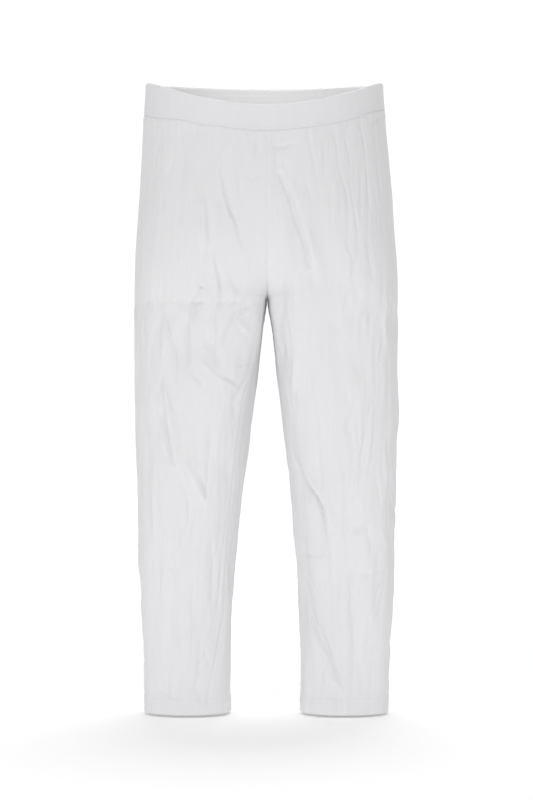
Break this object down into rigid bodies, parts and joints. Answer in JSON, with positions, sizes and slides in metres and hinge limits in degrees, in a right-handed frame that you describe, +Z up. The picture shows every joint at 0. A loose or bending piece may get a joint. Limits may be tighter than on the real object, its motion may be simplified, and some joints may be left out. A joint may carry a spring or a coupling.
{
  "type": "leggings",
  "caption": "Child's pull-on leggings with an elasticated waistband and straight tapering legs, filled out in the shape they take when worn.",
  "frame": {"origin": "middle of the waist opening, level with half the height of the waistband at its sides", "axes": "+Z up towards the waist, the front faces -Y, the wearer's left is +X"},
  "size_m": [0.2025, 0.1403, 0.4872],
  "materials": {
    "jersey": "matt fine cotton jersey",
    "casing": "matt fine cotton jersey, doubled over elastic"
  },
  "bodies": {
    "root": {"leg_left": "jersey", "leg_right": "jersey", "waistband": "casing"}
  },
  "joints": []
}
